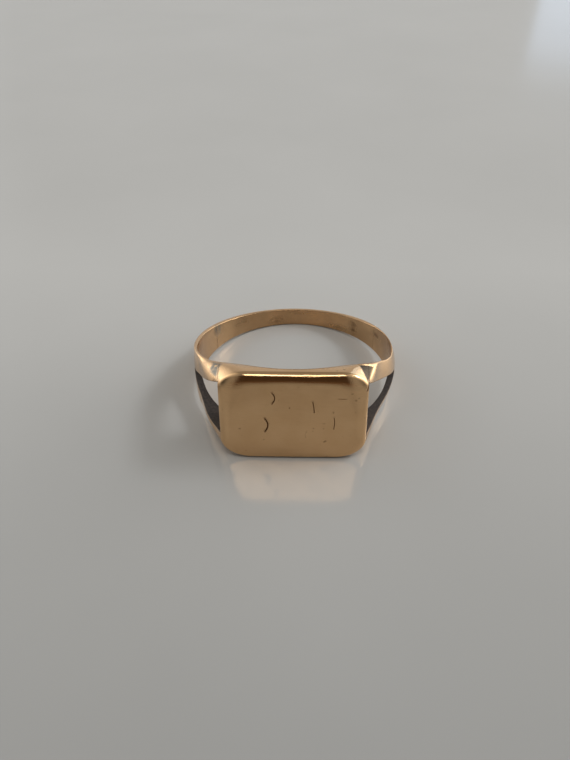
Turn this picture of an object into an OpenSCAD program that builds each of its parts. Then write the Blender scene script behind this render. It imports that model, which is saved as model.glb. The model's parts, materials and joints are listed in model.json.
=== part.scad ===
// Signet ring: a cushion-shaped signet head, two saw-split shoulders and a tapering shank,
// soldered together. The ring lies on a table, on the lower edge of its head and the lower
// edge of its back, so the finger axis leans a little from the upright.
// Every piece is drawn in the finger's frame (finger axis +Z, head towards -Y) and then laid down.

/* [Finger bore] */
// Inner circumference of the ring, which is its ISO 8653 size
inner_circumference = 57; // [55:0.5:59]

/* [Signet head] */
// Width of the head across the finger
head_w = 12.8; // [12:0.1:13.2]
// Height of the head along the finger
head_h = 8.4; // [8:0.1:8.8]
// Wall between the bore and the middle of the signet face
face_wall = 1.28; // [1:0.02:1.6]
// Rounding of the face's two long edges
edge_r = 0.65; // [0.4:0.05:0.8]
// Rounding of the face's two short edges
side_r = 0.75; // [0.4:0.05:0.9]
// Radius of the sphere that rounds off the four corners of the face
corner_sphere_r = 9.7; // [9.6:0.05:9.9]
// Radius of the brow, the curve over the head seen from the side
brow_r = 5.4; // [5:0.1:6.5]

/* [Band] */
// Wall of the band at the middle of its back
back_wall = 0.5; // [0.4:0.02:0.8]
// Wall of the band at the sides of the finger
side_wall = 0.7; // [0.6:0.02:0.9]
// Height of the band at the middle of its back, along the finger
back_h = 1.66; // [1.4:0.02:2]
// Slope of the band's edges at its back, in degrees
taper = 4.3; // [3.5:0.1:5]
// Radius of the long curve that widens the band towards the head
flare_r = 114; // [100:2:130]
// Distance from the face back to where the shoulders' outer sides meet the head
shoulder_set = 0.4; // [0.2:0.05:0.7]

/* [Split] */
// Angle round the finger from the middle of the head to the tip of the split
split_angle = 81; // [79:1:84]
// Radius of the split's hollow lower edge
split_lower_r = 13.5; // [13:0.1:14]
// Slope of the lower edge where it leaves the tip, in degrees
split_lower_angle = 31.5; // [30:0.5:33]
// Radius of the split's upper edge, which curls up towards the head
split_upper_r = 29; // [26:1:34]
// Slope of the upper edge where it leaves the tip, in degrees
split_upper_angle = 12.5; // [11:0.5:14]

/* [Solder] */
// Thickness of a soldered joint
solder_t = 0.1; // [0.06:0.01:0.16]
// Angle round the finger from the middle of the back to each shank seam
seam_angle = 62; // [50:1:70]

/* [Hidden] */
$fn = 180;
left = -1;
right = 1;
upper = 1;
lower = -1;
fine = 720; // segments of the long, shallow arcs
reach = 30; // longer than the ring, for the bodies that cut it

// The bore, and the round part of the band, which is thinner at the back than at the sides
bore_r = inner_circumference / (2 * PI);
band_r = bore_r + side_wall;
band_y = back_wall - side_wall;
back_y = bore_r + back_wall;

// The head
half_w = head_w / 2;
half_h = head_h / 2;
face_y = -(bore_r + face_wall);
brow_y = face_y + edge_r;
brow_z = half_h - brow_r;
head_back_y = -0.66 * bore_r; // inside the bore all the way across the head
corner_sphere_y = face_y + 7.7;
corner_back_y = face_y + 2.6; // the sphere's rounding has all but run out here

// The band's upper and lower edges in side view
back_half_h = back_h / 2;
flare_y = back_y + flare_r * sin(taper);
flare_z = back_half_h + flare_r * cos(taper);

// The shoulders' outer sides in plan: straight lines from the head that touch a circle just
// inside the round band, so that they cross the band's own circle cleanly
side_sink = 0.02;
side_touch_r = band_r - side_sink;
meet_y = face_y + shoulder_set;
meet = [half_w, meet_y - band_y];
touch_angle = atan2(meet[0], -meet[1]) + acos(side_touch_r / norm(meet));
touch_x = side_touch_r * sin(touch_angle);
touch_y = band_y - side_touch_r * cos(touch_angle);

// The split in side view, between two arcs that meet at its tip
tip_y = -band_r * cos(split_angle);
split_lower = [tip_y - split_lower_r * sin(split_lower_angle), split_lower_r * cos(split_lower_angle)];
split_upper = [tip_y + split_upper_r * sin(split_upper_angle), split_upper_r * cos(split_upper_angle)];

// Lying down: the lower brow and the lower edge of the back touch the table together
lean_run = back_y - brow_y;
lean_rise = back_half_h - brow_z;
lean = atan2(lean_run, lean_rise) - acos(brow_r / norm([lean_run, lean_rise]));
axis_z = back_half_h * cos(lean) + back_y * sin(lean);
front_reach = edge_r - brow_y * cos(lean) + (half_h - edge_r) * sin(lean);
back_reach = back_y * cos(lean) + back_half_h * sin(lean);
axis_y = (front_reach - back_reach) / 2;

// Stands the finger's frame on the table, with the middle of the ring over the origin
module lay_down() {
  translate([0, axis_y, axis_z]) rotate([-lean, 0, 0]) children();
}

// Takes a side view drawn in Y and Z through the whole width of the ring
module across() {
  rotate([90, 0, 90]) linear_extrude(2 * reach, center = true) children();
}

// Takes a plan drawn in X and Y through the whole height of the ring
module along() {
  linear_extrude(2 * half_h + 2, center = true) children();
}

module finger() {
  cylinder(h = 2 * half_h + 4, r = bore_r, center = true);
}

// Side view of the head's front, with its two rounded edges
module front_view() {
  translate([brow_y, -half_h]) square([head_back_y - brow_y, head_h]);
  translate([face_y, edge_r - half_h]) square([head_back_y - face_y, head_h - 2 * edge_r]);
  for (s = [upper, lower]) translate([brow_y, s * (half_h - edge_r)]) circle(edge_r);
}

// What rounding takes off one short edge of the face
module short_edge(side) {
  along() difference() {
    translate([side * half_w - side_r, face_y - side_r]) square(2 * side_r);
    translate([side * (half_w - side_r), face_y + side_r]) circle(side_r);
  }
}

// What rounding takes off the corners of the face and the shoulders' ends beside them
module face_corners() {
  difference() {
    translate([-reach, corner_back_y - reach, -reach]) cube([2 * reach, reach, 2 * reach]);
    translate([0, corner_sphere_y, 0]) sphere(corner_sphere_r);
  }
}

// Side view of the brow: the lens between its upper and lower curves
module brow_view() {
  intersection() {
    translate([brow_y, brow_z]) circle(brow_r);
    translate([brow_y, -brow_z]) circle(brow_r);
  }
}

// Side view of head, shoulders and shank together
module side_view() {
  brow_view();
  difference() {
    translate([face_y, -half_h]) square([back_y - face_y + 1, 2 * half_h]);
    for (s = [upper, lower]) translate([flare_y, s * flare_z]) circle(flare_r, $fn = fine);
  }
}

// Plan of the band, with the straight outer sides of its shoulders
module band_plan() {
  difference() {
    union() {
      translate([0, band_y]) circle(band_r);
      polygon([[-touch_x, touch_y], [-half_w, meet_y], [half_w, meet_y], [touch_x, touch_y]]);
    }
    circle(bore_r);
  }
}

// The whole band before it is split and cut into pieces
module band() {
  intersection() {
    along() band_plan();
    across() side_view();
  }
}

// The saw-cut opening that goes right through both shoulders
module split() {
  across() difference() {
    translate(split_lower) circle(split_lower_r);
    translate(split_upper) circle(split_upper_r, $fn = fine);
  }
}

// Everything in front of the finger axis and nearer the middle than x
module nearer_than(x) {
  translate([-x, -reach, -reach / 2]) cube([2 * x, reach, reach]);
}

// Everything on one side of the middle of the ring
module half_space(side) {
  translate([side > 0 ? 0 : -reach, -reach, -reach]) cube([reach, 2 * reach, 2 * reach]);
}

// The wedge behind the two shank seams
module behind_seams() {
  x = reach * sin(seam_angle);
  y = reach * cos(seam_angle);
  along() polygon([[0, 0], [x, y], [x, reach], [-x, reach], [-x, y]]);
}

// A flat slab as thick as the solder, from the finger axis out through one seam
module seam_slab(side) {
  rotate([0, 0, 90 - side * seam_angle])
    translate([0, -solder_t / 2, -reach / 2]) cube([reach, solder_t, reach]);
}

module shoulder(side) {
  intersection() {
    difference() {
      band();
      split();
      face_corners();
      nearer_than(half_w + solder_t);
      behind_seams();
      seam_slab(side);
    }
    half_space(side);
  }
}

// Solder between the head and one bar of a shoulder
module head_solder(side, level) {
  intersection() {
    difference() {
      band();
      split();
      face_corners();
      nearer_than(half_w);
    }
    nearer_than(half_w + solder_t);
    half_space(side);
    translate([-reach, -reach, level > 0 ? 0 : -reach]) cube([2 * reach, 2 * reach, reach]);
  }
}

module shank_solder(side) {
  intersection() {
    band();
    seam_slab(side);
  }
}

module signet_head() {
  color("goldenrod") lay_down() difference() {
    intersection() {
      across() intersection() {
        side_view();
        front_view();
      }
      translate([-half_w, head_back_y - reach, -reach / 2]) cube([head_w, reach, reach]);
    }
    short_edge(left);
    short_edge(right);
    face_corners();
    finger();
  }
}

module left_shoulder() {
  color("darkgoldenrod") lay_down() shoulder(left);
}

module right_shoulder() {
  color("darkgoldenrod") lay_down() shoulder(right);
}

module shank() {
  color("gold") lay_down() difference() {
    intersection() {
      band();
      behind_seams();
    }
    seam_slab(left);
    seam_slab(right);
  }
}

module left_upper_solder() {
  color("silver") lay_down() head_solder(left, upper);
}

module left_lower_solder() {
  color("silver") lay_down() head_solder(left, lower);
}

module right_upper_solder() {
  color("silver") lay_down() head_solder(right, upper);
}

module right_lower_solder() {
  color("silver") lay_down() head_solder(right, lower);
}

module left_shank_solder() {
  color("silver") lay_down() shank_solder(left);
}

module right_shank_solder() {
  color("silver") lay_down() shank_solder(right);
}

signet_head();
left_shoulder();
right_shoulder();
shank();
left_upper_solder();
left_lower_solder();
right_upper_solder();
right_lower_solder();
left_shank_solder();
right_shank_solder();
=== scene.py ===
"""A worn 9 ct signet ring lying on a pale glossy table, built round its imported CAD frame.

Every piece is the zero surface of a field: a function of a place in the finger's own frame
(X across, Y backwards, Z along the finger, in millimetres) that is negative inside the metal.
"""
import json
import math

import bpy
import numpy as np
import openvdb
from mathutils import Matrix, Vector


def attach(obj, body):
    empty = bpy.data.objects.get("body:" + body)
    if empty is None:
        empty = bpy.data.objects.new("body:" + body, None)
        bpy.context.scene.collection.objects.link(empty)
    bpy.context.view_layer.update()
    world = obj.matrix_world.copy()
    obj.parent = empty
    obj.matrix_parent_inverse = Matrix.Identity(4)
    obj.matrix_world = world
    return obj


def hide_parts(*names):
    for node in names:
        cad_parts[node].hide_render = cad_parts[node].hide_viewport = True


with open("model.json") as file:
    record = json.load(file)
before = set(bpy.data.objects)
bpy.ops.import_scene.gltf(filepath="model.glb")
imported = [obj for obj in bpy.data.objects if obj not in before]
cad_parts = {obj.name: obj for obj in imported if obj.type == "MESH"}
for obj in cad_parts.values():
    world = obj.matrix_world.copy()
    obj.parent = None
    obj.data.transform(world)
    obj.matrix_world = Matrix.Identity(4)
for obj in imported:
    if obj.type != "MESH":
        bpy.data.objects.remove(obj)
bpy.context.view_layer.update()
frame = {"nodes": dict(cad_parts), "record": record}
MM = 0.001

# --- The finger's frame and the sizes that the CAD frame gives ---------------------------------

mounts = {m["name"]: m for m in frame["record"]["mounts"]}
finger_axis = Vector(mounts["finger_bore"]["axis"]).normalized()
FINGER = Matrix((Vector((1, 0, 0)), finger_axis.cross(Vector((1, 0, 0))), finger_axis)).transposed()
CENTRE = Vector(mounts["finger_bore"]["pos_m"])
BORE_R = mounts["finger_bore"]["dims"]["r_mm"]


def cad_points(node):
    """A CAD node's vertices in the finger's frame, in millimetres."""
    points = np.array([v.co for v in frame["nodes"][node].data.vertices])
    return (points - np.array(CENTRE)) @ np.array(FINGER) / MM


head_points = cad_points("signet_head")
shank_points = cad_points("shank")
HALF_W = head_points[:, 0].max()
HALF_H = head_points[:, 2].max()
FACE_Y = head_points[:, 1].min()
BACK_Y = shank_points[:, 1].max()
BACK_HALF_H = shank_points[shank_points[:, 1] > BACK_Y - 0.01, 2].max()
SIDE_X = cad_points("right_shoulder")[:, 0].max()
SOLDER_T = cad_points("right_upper_solder")[:, 0].max() - HALF_W

# --- The design's other sizes, in millimetres and degrees ----------------------------------------

# The rounding round the face is a quarter ellipse: how wide it is on the face, and how deep
EDGE_TOP = 1.35
EDGE_TOP_ENDS = 2.0
EDGE_SIDE = 0.8
EDGE_UNDER = 0.4
EDGE_DEPTH = 0.7
CORNER_R = 2.2  # rounding of the head's four corners, seen from the front
CORNER_DEPTH_LEFT = 6.5  # how far behind the face that rounding has run out
CORNER_DEPTH_RIGHT = 4.5
ARRIS = 0.16  # rounding of the band's long edges at the sides
ARRIS_BACK = 0.08  # and at the back
BROW_R = 5.4
BROW_Y = FACE_Y + 0.65
BROW_Z = HALF_H - BROW_R
FLARE_R = 114
TAPER = math.radians(4.3)
FLARE_Y = BACK_Y + FLARE_R * math.sin(TAPER)
FLARE_Z = BACK_HALF_H + FLARE_R * math.cos(TAPER)
BAND_R = SIDE_X
BAND_Y = BACK_Y - BAND_R
MEET_Y = FACE_Y + 0.45  # where the shoulders' outer sides run into the head's rounding
DOME_LEFT = 0.08  # how far the outer face falls away towards its edges at the left side
DOME_RIGHT = 0.5  # at the right side, which is worn more
DOME_BACK = 0.03  # and at the back
BULGE_LEFT = 0.2  # the left shoulder is bent outwards a little, and the right one inwards
BULGE_RIGHT = -0.1
BORE_OVAL = 0.15  # how much further the bore reaches at the sides of the finger
TIP_Y = -BAND_R * math.cos(math.radians(81))
SPLIT_FLOOR = -2.0  # the lowest point of the opening's lower saw cut
SPLIT_FLOOR_Y = -8.6
SPLIT_LOWER_R = (SPLIT_FLOOR ** 2 + (TIP_Y - SPLIT_FLOOR_Y) ** 2) / (2 * -SPLIT_FLOOR)
SPLIT_LOWER = (SPLIT_FLOOR_Y, SPLIT_FLOOR + SPLIT_LOWER_R)
SPLIT_UPPER_R = 29
SPLIT_UPPER_ANGLE = math.radians(12.5)
SPLIT_UPPER = (
    TIP_Y + SPLIT_UPPER_R * math.sin(SPLIT_UPPER_ANGLE),
    SPLIT_UPPER_R * math.cos(SPLIT_UPPER_ANGLE),
)
SEAM = math.radians(62)
SOFT_MEETING = 0.6  # fillet where the brow flows into the flared edges
CUT_EDGE = 0.01  # edges of the gold at the joints
SOLDER_EDGE = 0.02
SAW_EDGE = 0.05  # edges of the saw cuts
SKIN = (0.2, 0.3)  # metal this close to the bore counts as the inside of the band
LAP = 0.03  # how far the gold laps over the solder, so that a seam is one fine line
SUNK = 0.005  # how far the solder lies below the gold

# The straight sides of the shoulders in plan: a line from the head that is tangent to the band
meet = (HALF_W, MEET_Y - BAND_Y)
touch_angle = math.atan2(meet[0], -meet[1]) + math.acos(BAND_R / math.hypot(*meet))
TOUCH = (BAND_R * math.sin(touch_angle), BAND_Y - BAND_R * math.cos(touch_angle))
SIDE_DIR = (math.sin(touch_angle), -math.cos(touch_angle))
SIDE_LENGTH = math.hypot(HALF_W - TOUCH[0], MEET_Y - TOUCH[1])

# Nicks in the face: middle x and z, half length, turn from upright, bow to the right, width, depth
NICKS = [
    (-1.78, 2.0, 0.52, 0, 0.22, 0.05, 0.05),
    (-2.42, -0.75, 0.65, 0, 0.24, 0.06, 0.06),
    (1.75, 1.15, 0.5, -8, 0.02, 0.05, 0.04),
    (3.54, -0.5, 0.55, 0, 0.05, 0.045, 0.035),
    (1.17, -1.7, 0.32, 4, -0.1, 0.04, 0.015),
    (4.2, 2.08, 0.42, 90, 0.02, 0.04, 0.012),
    (2.8, -2.4, 0.08, 60, 0, 0.08, 0.018),
    (-0.3, 1.1, 0.02, 0, 0, 0.05, 0.02),
    (5.0, -1.5, 0.28, 0, 0, 0.05, 0.008),
    (6.2, 3.85, 0.25, 55, 0.05, 0.06, 0.05),
    (6.3, 3.15, 0.55, 5, 0.12, 0.06, 0.05),
]
LIP = 0.25  # the burr beside a nick, as a share of its depth

# On the upper side: a rough place that was never polished, coloured dark partly for its bare metal and
# partly as painted shade in its recess, an open stretch of the joint at the head's upper left corner,
# and spilt grey solder; their corners in plan
ROUGH_RIGHT = [(5.6, -7.6), (7.5, -6.9), (7.3, -8.3), (6.4, -9.6)]
RECESS = 0.15  # how deep the rough place lies
OLD_SEAM = ((-6.95, -8.8), (-6.1, -10.2))
OLD_SEAM_DEPTH = 0.09
OLD_SEAM_WIDTH = 0.09
GREY_LEFT = [(-7.5, -8.0), (-7.1, -6.7), (-6.3, -7.5), (-6.6, -9.1)]
PATCH_EDGE = 0.12  # how softly the rough place ends
GREY_EDGE = 0.25  # and the grey solder

# --- Fields ----------------------------------------------------------------------------------------


def both(a, b, r):
    """What is inside both fields, with an edge rounded to radius r."""
    return np.minimum(-r, np.maximum(a, b)) + np.hypot(np.maximum(a + r, 0), np.maximum(b + r, 0))


def either(a, b, r):
    """What is inside either field, with a fillet of radius r."""
    return -both(-a, -b, r)


def ramp(value, low, high):
    """0 below low, 1 above high, smooth between them."""
    t = np.clip((value - low) / (high - low), 0, 1)
    return t * t * (3 - 2 * t)


def side_view(y, z):
    """Head, shoulders and shank in side view: the brow, flowing into the long flared edges."""
    z = np.abs(z)
    brow = np.where(y < BROW_Y, z - HALF_H, np.hypot(y - BROW_Y, z - BROW_Z) - BROW_R)
    band_edge = FLARE_R - np.hypot(y - FLARE_Y, z - FLARE_Z)
    return either(brow, band_edge, SOFT_MEETING)


def half_height(y):
    """Roughly how far the band's edge is from its middle line, at depth y."""
    return FLARE_Z - np.sqrt(FLARE_R ** 2 - (y - FLARE_Y) ** 2)


def outer_side(x, y, z):
    """The band's outer face in plan, domed towards its edges."""
    bulge = np.where(x < 0, BULGE_LEFT, BULGE_RIGHT)
    dome = DOME_LEFT + (DOME_RIGHT - DOME_LEFT) * ramp(x, -4, 4)
    dome = (dome + (DOME_BACK - dome) * ramp(y, 0, 8)) * ramp(y, -10, -5)
    x = np.abs(x)
    along = (TOUCH[0] - x) * -SIDE_DIR[1] - (TOUCH[1] - y) * -SIDE_DIR[0]
    line = (x - TOUCH[0]) * SIDE_DIR[0] + (y - TOUCH[1]) * SIDE_DIR[1]
    share = np.clip(along / SIDE_LENGTH, 0, 1)
    line = line - bulge * 16 * (share * (1 - share)) ** 2
    circle = np.hypot(x, y - BAND_Y) - BAND_R
    return np.where(along < 0, circle, line) + dome * (z / half_height(y)) ** 2


def finger_hole(x, y):
    r = np.hypot(x, y)
    return BORE_R + BORE_OVAL * (x / np.maximum(r, 1)) ** 4 - r


def opening(x, y, z):
    """The saw-cut opening in the shoulders; it is negative in the open part."""
    lower = np.hypot(y - SPLIT_LOWER[0], z - SPLIT_LOWER[1]) - SPLIT_LOWER_R
    upper = SPLIT_UPPER_R - np.hypot(y - SPLIT_UPPER[0], z - SPLIT_UPPER[1])
    return both(lower, upper, 0.03)


def patch(x, y, z, corners, soft):
    """1 inside a convex outline in plan on the ring's upper side, 0 outside."""
    middle_x, middle_y = np.mean(corners, axis=0)
    away = -np.inf
    for (ax, ay), (bx, by) in zip(corners, corners[1:] + corners[:1]):
        length = math.hypot(bx - ax, by - ay)
        across = ((x - ax) * (by - ay) - (y - ay) * (bx - ax)) / length
        inwards = (middle_x - ax) * (by - ay) - (middle_y - ay) * (bx - ax)
        away = np.maximum(away, -across * np.sign(inwards))
    from_side = ramp(-outer_side(x, y, z), 0.1, 0.35)
    return (1 - ramp(away, -soft, soft)) * ramp(z, 1.8, 2.4) * from_side


def old_seam(x, y, z):
    """1 along the open seam in the upper left corner, 0 away from it."""
    (ax, ay), (bx, by) = OLD_SEAM
    share = ((x - ax) * (bx - ax) + (y - ay) * (by - ay)) / ((bx - ax) ** 2 + (by - ay) ** 2)
    share = np.clip(share, 0, 1)
    away = np.hypot(x - ax - share * (bx - ax), y - ay - share * (by - ay))
    return np.exp(-(away / OLD_SEAM_WIDTH) ** 2) * (1 - 0.7 * share) * ramp(z, 2, 3)


def corner_r(x, y):
    arris = ARRIS + (ARRIS_BACK - ARRIS) * ramp(y, 0, 6)
    depth = np.where(x < 0, CORNER_DEPTH_LEFT, CORNER_DEPTH_RIGHT)
    return CORNER_R * (1 - ramp(y - FACE_Y, 1.2, depth)) + arris


def bore_edge_r(x, y):
    """Rounding of the bore's edges, which wear has softened on the shoulders."""
    return 0.06 + 0.3 * ramp(np.abs(x), 4, 7) * ramp(-y, -1, 3)


def block(x, y, z):
    """Head and band together, with soft corners, before the opening and the face are cut."""
    recess = RECESS * patch(x, y, z, ROUGH_RIGHT, PATCH_EDGE)
    top = side_view(y, z) + recess + OLD_SEAM_DEPTH * old_seam(x, y, z)
    return both(outer_side(x, y, z), top, corner_r(x, y))


def nicks(x, z):
    """How deep the face is cut at a place; the burrs beside the cuts count as negative."""
    depth = 0
    for middle_x, middle_z, half_length, angle, bow, width, deep in NICKS:
        turn = math.radians(angle)
        u = (z - middle_z) * math.cos(turn) + (x - middle_x) * math.sin(turn)
        v = (x - middle_x) * math.cos(turn) - (z - middle_z) * math.sin(turn)
        v = v - bow * (1 - np.clip(u / half_length, -1, 1) ** 2)
        away = np.hypot(np.maximum(np.abs(u) - half_length, 0), v) / width
        depth = depth + deep * (np.exp(-away ** 2) - LIP * np.exp(-((away - 2) / 0.7) ** 2))
    return depth


def waves(x, z):
    """The slight unevenness that polishing by hand leaves on the face."""
    return 0.008 * np.sin(0.8 * x + 0.5 * z + 1) + 0.006 * np.sin(1.7 * z - 0.6 * x) * np.sin(1.3 * x)


def faced(x, y, z, relief):
    """The block with its signet face, rounded all round; relief is cut into the face."""
    top = EDGE_TOP + (EDGE_TOP_ENDS - EDGE_TOP) * (x / HALF_W) ** 2
    width = EDGE_UNDER + (EDGE_SIDE - EDGE_UNDER) * ramp(z, -3.5, -1.5)
    width = width + (top - width) * ramp(z, 0, 3)
    depth = np.minimum(EDGE_DEPTH, width)
    return both(block(x, y, z) / width, (FACE_Y - y + relief) / depth, 1) * depth


def head(x, y, z):
    body = both(faced(x, y, z, nicks(x, z) + waves(x, z)), np.abs(x) - HALF_W - LAP, CUT_EDGE)
    return both(body, finger_hole(x, y), bore_edge_r(x, y))


def band(x, y, z):
    return both(faced(x, y, z, 0), finger_hole(x, y), bore_edge_r(x, y))


def past_seam(side, x, y):
    """How far a place is behind the sizing seam, across the seam."""
    return y * math.sin(SEAM) - side * x * math.cos(SEAM)


def shoulder(side):
    def field(x, y, z):
        body = both(band(x, y, z), HALF_W + SOLDER_T - LAP - side * x, CUT_EDGE)
        body = both(body, -opening(x, y, z), SAW_EDGE)
        return both(body, past_seam(side, x, y) + SOLDER_T / 2 - LAP, CUT_EDGE)
    return field


def shank(x, y, z):
    behind = np.minimum(past_seam(1, x, y), past_seam(-1, x, y))
    return both(band(x, y, z), SOLDER_T / 2 - LAP - behind, CUT_EDGE)


def head_solder(side, level):
    def field(x, y, z):
        slab = np.abs(side * x - HALF_W - SOLDER_T / 2) - SOLDER_T / 2
        body = both(band(x, y, z) + SUNK, slab, SOLDER_EDGE)
        body = both(body, SUNK - opening(x, y, z), SAW_EDGE)
        return both(body, -level * z, SOLDER_EDGE)
    return field


def shank_solder(side):
    def field(x, y, z):
        slab = np.abs(past_seam(side, x, y)) - SOLDER_T / 2
        body = both(band(x, y, z) + SUNK, slab, SOLDER_EDGE)
        return both(body, -side * x, SOLDER_EDGE)
    return field


# --- From fields to meshes ---------------------------------------------------------------------------

STEP = 0.064  # keeps the head under the export's limit of triangles
REFINED = 0.003  # quads get finer where a nick is deeper than this


def gradient(field, points):
    """The field's value and slope at some points."""
    h = 0.3 * STEP
    slope = np.empty_like(points)
    for axis in range(3):
        shift = np.zeros(3)
        shift[axis] = h
        slope[:, axis] = (field(*(points + shift).T) - field(*(points - shift).T)) / (2 * h)
    return field(*points.T), slope


def settle(field, points, reach):
    """Move points onto the field's zero surface, each by a small step at a time."""
    for _ in range(3):
        value, slope = gradient(field, points)
        move = -value[:, None] * slope / np.maximum((slope ** 2).sum(1, keepdims=True), 0.2)
        length = np.linalg.norm(move, axis=1, keepdims=True)
        points = points + move * np.minimum(1, reach / np.maximum(length, 1e-9))
    return points


def refine(points, quads, chosen):
    """Split the chosen quads in four; their neighbours take the new edge points in."""
    points, middles, faces = list(points), {}, []

    def middle(a, b):
        key = (min(a, b), max(a, b))
        if key not in middles:
            middles[key] = len(points)
            points.append((points[a] + points[b]) / 2)
        return middles[key]

    for quad in quads[chosen].tolist():
        edges = [middle(quad[i], quad[(i + 1) % 4]) for i in range(4)]
        centre = len(points)
        points.append(sum(points[i] for i in quad) / 4)
        faces += [[quad[i], edges[i], centre, edges[i - 1]] for i in range(4)]
    for quad in quads[~chosen].tolist():
        face = []
        for i in range(4):
            a, b = quad[i], quad[(i + 1) % 4]
            face.append(a)
            between = middles.get((min(a, b), max(a, b)))
            if between is not None:
                face.append(between)
        faces.append(face)
    return np.array(points), faces


def surface(name, field, node, step=STEP, margin=0.3):
    """A closed mesh object on the field's zero surface, with the field's own normals."""
    corners = cad_points(node)
    low, high = corners.min(0) - margin, corners.max(0) + margin
    axes = [np.arange(a, b + step, step) for a, b in zip(low, high)]
    x, y, z = np.meshgrid(*axes, indexing="ij")
    grid = openvdb.FloatGrid(background=3.0)
    grid.copyFromArray(np.clip(field(x, y, z) / step, -3, 3).astype(np.float32))
    points, quads = grid.convertToQuads(isovalue=0.0)
    points = low + points.astype(float) * step
    faces = quads.tolist()
    if node == "signet_head":
        centres = points[quads].mean(1)
        chosen = (np.abs(nicks(centres[:, 0], centres[:, 2])) > REFINED) & (centres[:, 1] < FACE_Y + 0.3)
        points, faces = refine(points, quads, chosen)
    points = settle(field, points, 0.25 * step)
    normals = gradient(field, points)[1]
    normals /= np.maximum(np.linalg.norm(normals, axis=1, keepdims=True), 1e-9)
    turn = np.array(FINGER).T
    mesh = bpy.data.meshes.new(name)
    mesh.from_pydata((points * MM @ turn + np.array(CENTRE)).tolist(), [], faces)
    mesh.polygons.foreach_set("use_smooth", np.ones(len(mesh.polygons), bool))
    mesh.normals_split_custom_set_from_vertices((normals @ turn).tolist())
    add_marks(mesh, points, node)
    obj = bpy.data.objects.new(name, mesh)
    bpy.context.scene.collection.objects.link(obj)
    return obj


# --- Marks: what the years have left on the metal, and painted shade in its hollows, kept on the mesh's points ---

# Stains inside the band: degrees from the back to the right, height, radii across and up, strength
STAINS = [
    (-14, -0.25, 0.55, 0.3, 0.8),
    (42.5, 0.4, 0.35, 0.35, 0.9),
    (42.5, -0.35, 0.3, 0.25, 0.8),
    (65, 0.55, 0.7, 0.25, 0.7),
    (-63, 0.9, 0.35, 0.3, 0.5),
    (30, -0.5, 0.9, 0.2, 0.35),
    (-38, 0.3, 0.8, 0.2, 0.3),
    (4, 0.5, 1.2, 0.15, 0.3),
]


def in_bore(x, y):
    """1 on the inside of the band, 0 outside."""
    return 1 - ramp(np.hypot(x, y), BORE_R + SKIN[0], BORE_R + SKIN[1])


def spot(points, angle, height, across, up):
    """A soft oval on the inside of the band, 1 at its middle."""
    x, y, z = points.T
    arc = BORE_R * (np.arctan2(x, y) - math.radians(angle))
    inside = in_bore(x, y)
    return inside * np.exp(-(arc / across) ** 2 - ((z - height) / up) ** 2)


def add_marks(mesh, points, node):
    """Point attributes: place along, out of and up the band; and how much of each mark is there."""
    x, y, z = points.T
    back = 1 if node == "shank" else -1
    place = np.stack([BORE_R * np.arctan2(x, back * y), np.hypot(x, y), z], 1)
    vectors = mesh.attributes.new("place", "FLOAT_VECTOR", "POINT").data
    vectors.foreach_set("vector", place.astype(np.float32).ravel())
    sawn = 0 * x
    if node != "signet_head":
        sawn = 1 - ramp(np.abs(opening(x, y, z)), 0.02, 0.07)
    # painted shade: the nicks' bottoms are marked dark, and so is the dark open seam
    nicked = ramp(nicks(x, z), 0.005, 0.03) * (y < FACE_Y + 0.9) + old_seam(x, y, z)
    # the rough place, coloured dark partly as painted shade in its recess
    rough = patch(x, y, z, ROUGH_RIGHT, PATCH_EDGE)
    stained = sum(strength * spot(points, *shape) for *shape, strength in STAINS)
    grey = patch(x, y, z, GREY_LEFT, GREY_EDGE) + spot(points, -61, 0.9, 0.5, 0.6)
    inside = in_bore(x, y)
    marks = {
        "inside": inside,
        "sawn": sawn,
        "nicked": nicked,
        "rough": rough,
        "stained": stained,
        "grey": grey,
    }
    for name, amount in marks.items():
        amount = np.clip(amount, 0, 1).astype(np.float32)
        mesh.attributes.new(name, "FLOAT", "POINT").data.foreach_set("value", amount)


# --- Materials ---------------------------------------------------------------------------------------


def put(tree, kind, sockets=None, **settings):
    """A new node; each socket takes a value or another node's output."""
    new = tree.nodes.new("ShaderNode" + kind)
    for key, value in settings.items():
        setattr(new, key, value)
    for key, value in (sockets or {}).items():
        if isinstance(value, bpy.types.NodeSocket):
            tree.links.new(value, new.inputs[key])
        else:
            new.inputs[key].default_value = value
    return new


def attribute(tree, name):
    return put(tree, "Attribute", attribute_name=name).outputs["Fac"]


def noise(tree, vector, scale, detail=3, stretch=(1, 1, 1), turn=0):
    """Noise in the band's own directions, in features per millimetre, stretched and turned."""
    mapped = put(tree, "Mapping", {"Vector": vector, "Rotation": (0, math.radians(turn), 0)})
    mapped = put(tree, "Mapping", {"Vector": mapped.outputs[0], "Scale": stretch})
    texture = put(tree, "TexNoise", {"Vector": mapped.outputs[0], "Scale": scale, "Detail": detail})
    return texture.outputs["Fac"]


def between(tree, value, low, high, out_low=0.0, out_high=1.0):
    """The value carried from low..high to out_low..out_high, held at the ends."""
    sockets = {"Value": value, "From Min": low, "From Max": high, "To Min": out_low, "To Max": out_high}
    return put(tree, "MapRange", sockets).outputs[0]


def times(tree, a, b):
    return put(tree, "Math", {0: a, 1: b}, operation="MULTIPLY").outputs[0]


def mix(tree, amount, a, b):
    """Colour a going over to colour b."""
    new = put(tree, "Mix", data_type="RGBA")
    for key, value in ((0, amount), (6, a), (7, b)):
        if isinstance(value, bpy.types.NodeSocket):
            tree.links.new(value, new.inputs[key])
        else:
            new.inputs[key].default_value = value if key == 0 else (*value, 1)
    return new.outputs[2]


def mix_value(tree, amount, a, b):
    new = put(tree, "Mix", {0: amount, 2: a, 3: b}, data_type="FLOAT")
    return new.outputs[0]


def material(name):
    new = bpy.data.materials.new(name)
    new.use_nodes = True
    return new, new.node_tree, new.node_tree.nodes["Principled BSDF"]


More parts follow.
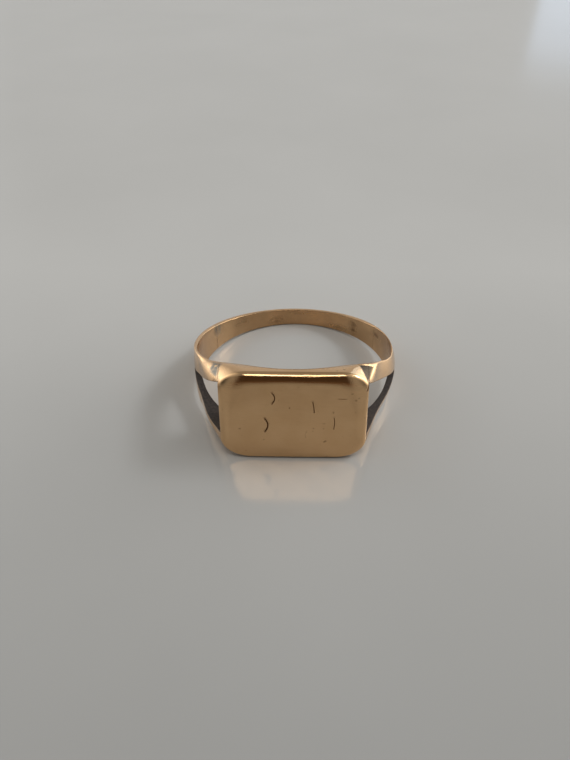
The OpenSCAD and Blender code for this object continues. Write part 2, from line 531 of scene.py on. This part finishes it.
# Fine scratches: features per millimetre, turn from the band's own direction, threshold, strength
SCRATCHES = [(1.1, 4, 0.62, 0.35), (1.3, -38, 0.65, 0.3), (1.0, 66, 0.645, 0.3), (2, 95, 0.64, 0.2)]


def metal(name, colour, deep_colour, roughness):
    """Worn, hand-polished gold: cloudy colour, fine scratches, the marks of the years, and painted shade
    inside the band, in the nicks and in the rough place.
    """
    new, tree, shader = material(name)
    place = put(tree, "Attribute", attribute_name="place").outputs["Vector"]
    cloud = noise(tree, place, 0.45)
    grain = noise(tree, place, 5, detail=5)
    pits = noise(tree, place, 2.3, detail=2)
    tint = mix(tree, between(tree, cloud, 0.35, 0.65), colour, deep_colour)
    rough = between(tree, grain, 0.3, 0.7, roughness, roughness + 0.07)
    height = times(tree, grain, 0.1)
    for scale, turn, low, strength in SCRATCHES:
        lines = noise(tree, place, scale, detail=1, stretch=(0.35, 1, 16), turn=turn)
        line = between(tree, lines, low, low + 0.05, 0, strength)
        height = put(tree, "Math", {0: height, 1: line}, operation="SUBTRACT").outputs[0]
        rough = put(tree, "Math", {0: rough, 1: times(tree, line, 0.12)}, operation="ADD").outputs[0]
    pit = between(tree, pits, 0.70, 0.74)
    tint = mix(tree, times(tree, pit, 0.5), tint, (0.20, 0.11, 0.05))
    height = put(tree, "Math", {0: height, 1: pit}, operation="SUBTRACT").outputs[0]

    blotch = noise(tree, place, 2.2, detail=4)
    inside = attribute(tree, "inside")
    # Painted shade: the inside of the band gets a darker colour for the shade that falls there; its
    # finish is also made rougher
    inside_painted_shade = times(tree, inside, between(tree, cloud, 0.3, 0.6, 0.55, 0.95))
    tint = mix(tree, inside_painted_shade, tint, (0.49, 0.31, 0.165))
    rough = mix_value(tree, inside, rough, 0.26)
    stained = times(tree, attribute(tree, "stained"), between(tree, blotch, 0.35, 0.6))
    tint = mix(tree, stained, tint, (0.13, 0.07, 0.035))
    rough = mix_value(tree, stained, rough, 0.45)
    grey = times(tree, attribute(tree, "grey"), between(tree, blotch, 0.3, 0.5))
    tint = mix(tree, grey, tint, (0.22, 0.20, 0.165))
    rough = mix_value(tree, grey, rough, 0.42)
    # Painted shade: the nicks' bottoms are coloured dark brown, and the open seam is dark too
    nicked = attribute(tree, "nicked")
    tint = mix(tree, nicked, tint, (0.13, 0.06, 0.025))
    rough = mix_value(tree, nicked, rough, 0.4)

    # The rough place is coloured near black, partly for its unpolished metal and partly as painted shade
    # in its recess
    rough_place_and_shade = attribute(tree, "rough")
    tint = mix(tree, rough_place_and_shade, tint, mix(tree, grain, (0.03, 0.024, 0.018), (0.17, 0.13, 0.085)))
    rough = mix_value(tree, rough_place_and_shade, rough, 0.5)
    sawn = attribute(tree, "sawn")
    soot = mix(tree, between(tree, grain, 0.35, 0.7), (0.022, 0.016, 0.014), (0.06, 0.045, 0.036))
    tint = mix(tree, sawn, tint, soot)
    rough = mix_value(tree, sawn, rough, 0.6)
    unpolished = put(tree, "Math", {0: rough_place_and_shade, 1: sawn}, operation="MAXIMUM").outputs[0]
    coarse = mix_value(tree, unpolished, 0.0, times(tree, grain, 3.0))
    height = put(tree, "Math", {0: height, 1: coarse}, operation="ADD").outputs[0]

    tree.links.new(tint, shader.inputs["Base Color"])
    tree.links.new(rough, shader.inputs["Roughness"])
    tree.links.new(mix_value(tree, sawn, 1.0, 0.15), shader.inputs["Metallic"])
    bump = put(tree, "Bump", {"Height": height, "Strength": 0.35, "Distance": 0.01 * MM})
    tree.links.new(bump.outputs[0], shader.inputs["Normal"])
    return new


gold = metal("gold", (0.76, 0.49, 0.26), (0.70, 0.44, 0.225), 0.06)
solder = metal("solder", (0.70, 0.47, 0.27), (0.58, 0.42, 0.26), 0.14)


def table_top():
    new, tree, shader = material("table_top")
    where = put(tree, "TexCoord").outputs["Object"]
    cloud = put(tree, "TexNoise", {"Vector": where, "Scale": 35, "Detail": 3}).outputs["Fac"]
    tint = mix(tree, between(tree, cloud, 0.3, 0.7), (0.525, 0.52, 0.505), (0.55, 0.545, 0.53))
    # Painted shade: the table's colour is darkened towards the front of the ring, standing for the
    # ring's shadow and the fall-off of the light from behind
    depth = put(tree, "SeparateXYZ", {0: where}).outputs["Y"]
    tint = mix(tree, between(tree, depth, -0.035, 0.02, 0.38, 0.0), tint, (0.1, 0.1, 0.1))
    tree.links.new(tint, shader.inputs["Base Color"])
    shader.inputs["Roughness"].default_value = 0.13
    return new


floor_material = table_top()

# --- Pieces ------------------------------------------------------------------------------------------

made = {
    "signet_head": (head, gold, "gold"),
    "left_shoulder": (shoulder(-1), gold, "gold"),
    "right_shoulder": (shoulder(1), gold, "gold"),
    "shank": (shank, gold, "gold"),
    "left_upper_solder": (head_solder(-1, 1), solder, "solder"),
    "left_lower_solder": (head_solder(-1, -1), solder, "solder"),
    "right_upper_solder": (head_solder(1, 1), solder, "solder"),
    "right_lower_solder": (head_solder(1, -1), solder, "solder"),
    "left_shank_solder": (shank_solder(-1), solder, "solder"),
    "right_shank_solder": (shank_solder(1), solder, "solder"),
}
for node, (field, finish, slot) in made.items():
    piece = surface(node + "_piece", field, node, step=STEP if slot == "gold" else STEP / 2)
    piece.data.materials.append(finish)
    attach(piece, "root")
    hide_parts(node)

# --- Table, light and camera -------------------------------------------------------------------------

bpy.ops.mesh.primitive_plane_add(size=6, location=(0, 0, 0))
floor = bpy.context.object
floor.name = "floor"
floor.data.materials.append(floor_material)

scene = bpy.context.scene
scene.view_settings.view_transform = "Standard"
world = bpy.data.worlds.new("room")
scene.world = world
world.use_nodes = True
tree = world.node_tree
axes = put(tree, "SeparateXYZ", {0: put(tree, "TexCoord").outputs["Generated"]})
forward = times(tree, axes.outputs["Y"], -1.0)
lift = put(tree, "Math", {0: axes.outputs["Z"], 1: forward}, operation="ARCTAN2").outputs[0]
bands = put(tree, "ValToRGB", {0: times(tree, lift, 1 / math.pi)})

# The room in a half turn from the horizon in front (0) over the top (0.5) to the horizon behind (1)
ROOM = [
    (0.0, 0.10),
    (0.08, 0.05),
    (0.31, 0.045),
    (0.36, 0.24),
    (0.56, 0.32),
    (0.86, 0.28),
    (0.93, 0.5),
    (1.0, 0.6),
]
DARK_END = 0.33  # the dark part in front is brown
WARM = (1.25, 0.8, 0.5)
NEUTRAL = (1, 0.99, 0.97)
while len(bands.color_ramp.elements) < len(ROOM):
    bands.color_ramp.elements.new(0.5)
for element, (at, level) in zip(bands.color_ramp.elements, ROOM):
    element.position = at
    tone = WARM if at < DARK_END else NEUTRAL
    element.color = (*(level * t for t in tone), 1)

# Pale walls to the left and right give most of the light; they are brighter behind the ring and
# at the window's side
beside = put(tree, "Math", {0: axes.outputs["X"]}, operation="ABSOLUTE").outputs[0]
walls = between(tree, beside, 0.35, 0.8)
depth_light = between(tree, axes.outputs["Y"], -0.4, 0.6, 0.15, 3.1)
right_light = between(tree, axes.outputs["X"], -0.6, 0.6, 0.72, 1.25)
wall_level = times(tree, depth_light, right_light)
room = mix(tree, walls, bands.outputs[0], (1, 1, 0.985))
background = tree.nodes["Background"]
tree.links.new(room, background.inputs["Color"])
tree.links.new(mix_value(tree, walls, 1.0, wall_level), background.inputs["Strength"])


def area(name, azimuth, elevation, distance, width, height, power, colour=(1, 1, 1)):
    """An area light that faces the ring; azimuth 0 is behind the ring, and to the right is +."""
    a, e = math.radians(azimuth), math.radians(elevation)
    away = Vector((math.sin(a) * math.cos(e), math.cos(a) * math.cos(e), math.sin(e)))
    light = bpy.data.lights.new(name, "AREA")
    light.shape, light.size, light.size_y = "RECTANGLE", width, height
    light.energy, light.color = power, colour
    obj = bpy.data.objects.new(name, light)
    obj.location = CENTRE + away * distance
    obj.rotation_euler = away.to_track_quat("Z", "Y").to_euler()
    obj.visible_camera = False
    scene.collection.objects.link(obj)
    return obj


area("ceiling", 168, 75, 1.2, 0.7, 0.3, 2.6, (1, 0.96, 0.88))
area("window", 27, 10, 1.5, 0.5, 0.3, 0.4, (0.6, 0.76, 1))
area("side_window", 70, 42, 1.2, 0.3, 0.2, 3.0, (0.92, 0.96, 1))

camera = bpy.data.objects.new("camera", bpy.data.cameras.new("camera"))
scene.collection.objects.link(camera)
scene.camera = camera
camera.data.lens = 33.16
camera.data.clip_start = 0.005
camera.data.clip_end = 20
CAMERA_UP = math.radians(40.05)
CAMERA_ASIDE = math.radians(0.77)
CAMERA_DISTANCE = 69.07 * MM
AIM = (-0.942 * MM, -2.14 * MM)  # where the camera looks, to the right of and above the bore's centre
back = Vector((
    math.sin(CAMERA_ASIDE) * math.cos(CAMERA_UP),
    -math.cos(CAMERA_ASIDE) * math.cos(CAMERA_UP),
    math.sin(CAMERA_UP),
))
right = (-back).cross(Vector((0, 0, 1))).normalized()
up = right.cross(-back)
camera.location = CENTRE + back * CAMERA_DISTANCE
look = (CENTRE + right * AIM[0] + up * AIM[1] - camera.location).normalized()
right = look.cross(up).normalized()
up = right.cross(look)
camera.rotation_mode = "QUATERNION"
camera.rotation_quaternion = Matrix((right, up, -look)).transposed().to_quaternion()
